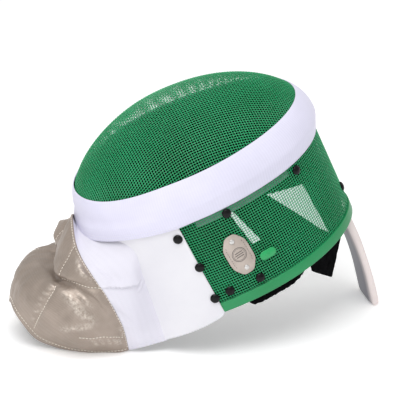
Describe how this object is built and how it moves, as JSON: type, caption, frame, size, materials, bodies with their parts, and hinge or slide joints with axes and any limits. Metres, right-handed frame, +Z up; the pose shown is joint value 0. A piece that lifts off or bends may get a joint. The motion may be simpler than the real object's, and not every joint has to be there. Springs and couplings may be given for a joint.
{
  "type": "foil fencing mask",
  "caption": "Foil fencing mask lying on its back, with a wire face and side, a seam cover band, a soft bib with a conductive throat part and a padded rear tongue.",
  "frame": {"origin": "middle of the mask's footprint, on the surface that it lies on", "axes": "+X from the chin and bib to the crown and tongue, +Y towards the wearer's right side, +Z up, out of the face"},
  "size_m": [0.4398, 0.2378, 0.296],
  "materials": {
    "mesh_paint": "satin powder coat",
    "band_knit": "knitted elastic",
    "trim_plastic": "smooth moulded edging",
    "panel_leather": "smooth coated",
    "bib_cloth": "woven, padded",
    "lame_cloth": "woven metal thread, lustrous",
    "tongue_cloth": "padded, coated",
    "stud_plastic": "moulded gloss",
    "plate_metal": "satin",
    "rivet_metal": "bright",
    "tag_plastic": "moulded",
    "lining_cloth": "napped",
    "tape_cloth": "woven tape",
    "strap_cloth": "hook-and-loop"
  },
  "bodies": {
    "root": {"bib": "bib_cloth", "bib_conductive": "lame_cloth", "cover_band": "band_knit", "crown_pad": "lining_cloth", "face_mesh": "mesh_paint", "plate_rivet_lower": "rivet_metal", "plate_rivet_upper": "rivet_metal", "rating_plate": "plate_metal", "rear_trim": "trim_plastic", "seam_tape_left": "tape_cloth", "seam_tape_right": "tape_cloth", "side_mesh": "mesh_paint", "side_pad_left": "lining_cloth", "side_pad_right": "lining_cloth", "side_panel_left": "panel_leather", "side_panel_right": "panel_leather", "size_tag": "tag_plastic", "strap_end_left": "strap_cloth", "strap_end_right": "strap_cloth", "stud_left_1": "stud_plastic", "stud_left_2": "stud_plastic", "stud_left_3": "stud_plastic", "stud_left_4": "stud_plastic", "stud_left_5": "stud_plastic", "stud_left_6": "stud_plastic", "stud_left_7": "stud_plastic", "stud_left_8": "stud_plastic", "stud_right_1": "stud_plastic", "stud_right_2": "stud_plastic", "stud_right_3": "stud_plastic", "stud_right_4": "stud_plastic", "stud_right_5": "stud_plastic", "stud_right_6": "stud_plastic", "stud_right_7": "stud_plastic", "stud_right_8": "stud_plastic", "tongue": "tongue_cloth"}
  },
  "joints": []
}
